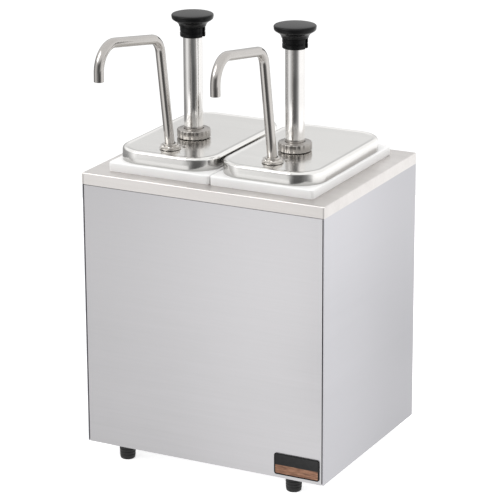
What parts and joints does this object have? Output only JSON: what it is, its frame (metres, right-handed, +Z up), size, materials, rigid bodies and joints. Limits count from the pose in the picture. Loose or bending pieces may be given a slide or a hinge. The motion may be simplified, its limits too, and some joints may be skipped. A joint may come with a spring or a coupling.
{
  "type": "cheese sauce pump dispenser",
  "caption": "Countertop stainless cabinet with lift-out jars side by side, each under a lid with a spring-return plunger pump and a bent spout for cheese sauce.",
  "frame": {"origin": "on the surface the feet stand on, under the centre of the cabinet", "axes": "+Z up, -Y towards the front, where the spouts reach out; +X to the right as seen from the front"},
  "size_m": [0.262, 0.2925, 0.4482],
  "materials": {
    "cabinet_steel": "bead-blasted satin",
    "deck_steel": "brushed",
    "lid_steel": "fine brushed",
    "polished_steel": "polished",
    "fastener_steel": "plain",
    "jar_white": "satin",
    "guide_plastic": "satin",
    "valve_plastic": "matte",
    "knob_plastic": "satin",
    "black_rubber": "matte",
    "badge_enamel": "two-tone enamel, dark over brown"
  },
  "bodies": {
    "cabinet": {"cabinet_wrap": "cabinet_steel", "front_panel": "cabinet_steel", "deck_cover": "deck_steel", "floor_pan": "cabinet_steel", "web_bar": "cabinet_steel", "corner_brackets": "cabinet_steel", "bracket_rivets": "fastener_steel", "rubber_feet": "black_rubber", "foot_screws": "fastener_steel", "foot_nuts": "fastener_steel", "badge_plate": "badge_enamel"},
    "left_jar": {"left_jar": "jar_white"},
    "left_pump": {"left_lid": "lid_steel", "left_lock_collar": "polished_steel", "left_neck_bush": "guide_plastic", "left_pump_cylinder": "polished_steel", "left_valve_body": "valve_plastic", "left_body_o_ring": "black_rubber", "left_tube_o_ring": "black_rubber", "left_intake_cap": "valve_plastic", "left_spout_bushing": "polished_steel", "left_clamp_plate": "lid_steel", "left_clamp_nut": "polished_steel", "left_lid_pin": "fastener_steel", "left_return_spring": "fastener_steel"},
    "left_spout": {"left_discharge_tube": "polished_steel"},
    "left_plunger": {"left_plunger_tube": "polished_steel", "left_piston": "guide_plastic", "left_piston_seal": "black_rubber", "left_gauging_collar": "knob_plastic", "left_knob": "knob_plastic"},
    "left_intake_ball": {"left_intake_ball": "fastener_steel"},
    "left_outlet_ball": {"left_outlet_ball": "fastener_steel"},
    "right_jar": {"right_jar": "jar_white"},
    "right_pump": {"right_lid": "lid_steel", "right_lock_collar": "polished_steel", "right_neck_bush": "guide_plastic", "right_pump_cylinder": "polished_steel", "right_valve_body": "valve_plastic", "right_body_o_ring": "black_rubber", "right_tube_o_ring": "black_rubber", "right_intake_cap": "valve_plastic", "right_spout_bushing": "polished_steel", "right_clamp_plate": "lid_steel", "right_clamp_nut": "polished_steel", "right_lid_pin": "fastener_steel", "right_return_spring": "fastener_steel"},
    "right_spout": {"right_discharge_tube": "polished_steel"},
    "right_plunger": {"right_plunger_tube": "polished_steel", "right_piston": "guide_plastic", "right_piston_seal": "black_rubber", "right_gauging_collar": "knob_plastic", "right_knob": "knob_plastic"},
    "right_intake_ball": {"right_intake_ball": "fastener_steel"},
    "right_outlet_ball": {"right_outlet_ball": "fastener_steel"}
  },
  "joints": [
    {"name": "left_jar_lift", "type": "slide", "parent": "cabinet", "child": "left_jar", "axis": [0, 0, 1], "range_m": [0, 0.21]},
    {"name": "left_pump_lift", "type": "slide", "parent": "left_jar", "child": "left_pump", "axis": [0, 0, 1], "range_m": [0, 0.21]},
    {"name": "left_plunger_press", "type": "slide", "parent": "left_pump", "child": "left_plunger", "axis": [0, 0, -1], "range_m": [0, 0.092], "stiffness_N_per_m": 150, "springref_m": -0.05, "deforming": ["left_return_spring"]},
    {"name": "left_spout_turn", "type": "hinge", "parent": "left_pump", "child": "left_spout", "pos_m": [-0.05825, -0.0583, 0.318], "axis": [0, -0.165, 0.9863], "range_deg": [-20, 20]},
    {"name": "left_intake_ball_lift", "type": "slide", "parent": "left_pump", "child": "left_intake_ball", "axis": [0, 0, 1], "range_m": [0, 0.003]},
    {"name": "left_outlet_ball_lift", "type": "slide", "parent": "left_pump", "child": "left_outlet_ball", "axis": [0, -0.165, 0.9863], "range_m": [0, 0.003]},
    {"name": "right_jar_lift", "type": "slide", "parent": "cabinet", "child": "right_jar", "axis": [0, 0, 1], "range_m": [0, 0.21]},
    {"name": "right_pump_lift", "type": "slide", "parent": "right_jar", "child": "right_pump", "axis": [0, 0, 1], "range_m": [0, 0.21]},
    {"name": "right_plunger_press", "type": "slide", "parent": "right_pump", "child": "right_plunger", "axis": [0, 0, -1], "range_m": [0, 0.092], "stiffness_N_per_m": 150, "springref_m": -0.05, "deforming": ["right_return_spring"]},
    {"name": "right_spout_turn", "type": "hinge", "parent": "right_pump", "child": "right_spout", "pos_m": [0.05325, -0.0583, 0.318], "axis": [0, -0.165, 0.9863], "range_deg": [-20, 20]},
    {"name": "right_intake_ball_lift", "type": "slide", "parent": "right_pump", "child": "right_intake_ball", "axis": [0, 0, 1], "range_m": [0, 0.003]},
    {"name": "right_outlet_ball_lift", "type": "slide", "parent": "right_pump", "child": "right_outlet_ball", "axis": [0, -0.165, 0.9863], "range_m": [0, 0.003]}
  ]
}
